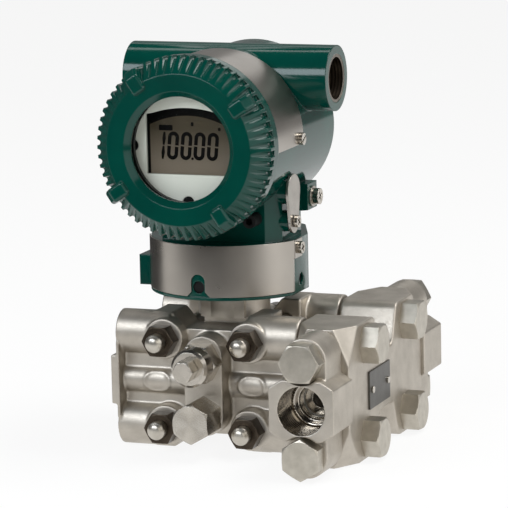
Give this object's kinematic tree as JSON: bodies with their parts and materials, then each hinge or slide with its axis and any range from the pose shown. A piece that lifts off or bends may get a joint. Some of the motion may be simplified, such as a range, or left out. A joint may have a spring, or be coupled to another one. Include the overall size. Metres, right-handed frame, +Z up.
{
  "type": "flow transmitter",
  "caption": "Flow transmitter: toothed indicator cover and conduit tube on a collar, over a flanged pressure capsule with an orifice manifold and two pipe ports.",
  "frame": {"origin": "middle of the bounding box's underside, the plane the flanges and manifold stand on", "axes": "+Z up along the neck, -Y out of the indicator's window, +X towards the manifold"},
  "size_m": [0.1264, 0.156, 0.1774],
  "materials": {
    "green_paint": "cast aluminium under semi-gloss dark green enamel",
    "cast_stainless": "as-cast stainless steel, fine grain",
    "turned_stainless": "turned stainless steel, bright",
    "bolt_steel": "bright hexagon bolt steel",
    "dark_steel": "dark brown phosphated steel",
    "black_steel": "black oxide steel",
    "sheet_stainless": "satin stainless sheet",
    "tag_metal": "dark grey anodised sheet, bare",
    "window": "clear toughened glass",
    "black_plastic": "black moulded plastic",
    "bezel_plastic": "greenish white moulded plastic",
    "display": "brown grey liquid crystal panel",
    "board": "green laminate",
    "brass": "turned brass",
    "seal_rubber": "black rubber",
    "gasket_plastic": "white fluoroplastic"
  },
  "bodies": {
    "base": {"capsule_body": "turned_stainless", "front_flange": "cast_stainless", "rear_flange": "cast_stainless", "front_flange_gasket": "gasket_plastic", "rear_flange_gasket": "gasket_plastic", "front_vent_plug": "turned_stainless", "rear_vent_plug": "turned_stainless", "front_drain_plug": "turned_stainless", "rear_drain_plug": "turned_stainless", "capsule_bolts": "bolt_steel", "capsule_nuts": "dark_steel", "manifold_body": "cast_stainless", "front_process_flange": "cast_stainless", "rear_process_flange": "cast_stainless", "orifice_plate": "turned_stainless", "orifice_gaskets": "gasket_plastic", "outlet_gasket": "gasket_plastic", "manifold_gaskets": "gasket_plastic", "tag_plate": "tag_metal", "tag_rivets": "turned_stainless", "manifold_bolts": "bolt_steel", "process_flange_bolts": "bolt_steel"},
    "housing": {"amplifier_housing": "green_paint", "indicator_bezel": "bezel_plastic", "lcd_panel": "display", "indicator_board": "board", "main_board": "board", "board_posts": "brass", "bezel_screws": "turned_stainless", "terminal_block": "black_plastic", "terminal_screws": "turned_stainless", "nameplate_band": "sheet_stainless", "collar_band": "sheet_stainless", "nameplate_screws": "turned_stainless", "collar_band_screw": "turned_stainless", "cover_lock_screw": "black_steel", "collar_set_screws": "black_steel", "ground_washer": "sheet_stainless", "ground_screw": "turned_stainless", "leaf_screw": "turned_stainless"},
    "front_ring": {"front_cover_seal": "seal_rubber"},
    "front_cap": {"front_cover": "green_paint", "window_glass": "window", "glass_retainer": "black_plastic"},
    "rear_ring": {"rear_cover_seal": "seal_rubber"},
    "rear_cap": {"rear_cover": "green_paint"},
    "zero_leaf": {"zero_cover_leaf": "sheet_stainless"},
    "zero_screw": {"zero_adjust_screw": "black_steel"},
    "front_bleed": {"front_vent_screw": "turned_stainless"},
    "rear_bleed": {"rear_vent_screw": "turned_stainless"}
  },
  "joints": [
    {"name": "housing_turn", "type": "hinge", "parent": "base", "child": "housing", "pos_m": [-0.0156, 0, 0.0783], "axis": [0, 0, 1], "range_deg": [-180, 180]},
    {"name": "front_cover_turn", "type": "hinge", "parent": "housing", "child": "front_ring", "pos_m": [-0.0156, -0.048, 0.1375], "axis": [0, -1, 0], "range_deg": [0, 1800]},
    {"name": "front_cover_back_off", "type": "slide", "parent": "front_ring", "child": "front_cap", "axis": [0, -1, 0], "range_m": [0, 0.01]},
    {"name": "rear_cover_turn", "type": "hinge", "parent": "housing", "child": "rear_ring", "pos_m": [-0.0156, 0.036, 0.1375], "axis": [0, 1, 0], "range_deg": [0, 1800]},
    {"name": "rear_cover_back_off", "type": "slide", "parent": "rear_ring", "child": "rear_cap", "axis": [0, 1, 0], "range_m": [0, 0.01]},
    {"name": "zero_cover_swing", "type": "hinge", "parent": "housing", "child": "zero_leaf", "pos_m": [0.0179, -0.0145, 0.1006], "axis": [1, 0, 0], "range_deg": [0, 110]},
    {"name": "zero_screw_turn", "type": "hinge", "parent": "housing", "child": "zero_screw", "pos_m": [0.0134, -0.0145, 0.1138], "axis": [1, 0, 0], "continuous": true},
    {"name": "front_vent_turn", "type": "hinge", "parent": "base", "child": "front_bleed", "pos_m": [-0.0156, -0.057, 0.0415], "axis": [0, -1, 0], "range_deg": [0, 720]},
    {"name": "rear_vent_turn", "type": "hinge", "parent": "base", "child": "rear_bleed", "pos_m": [-0.0156, 0.057, 0.0415], "axis": [0, 1, 0], "range_deg": [0, 720]}
  ],
  "couplings": [
    {"joint": "front_cover_back_off", "follows": "front_cover_turn", "m_per_rad": 0.00031831},
    {"joint": "rear_cover_back_off", "follows": "rear_cover_turn", "m_per_rad": 0.00031831}
  ]
}
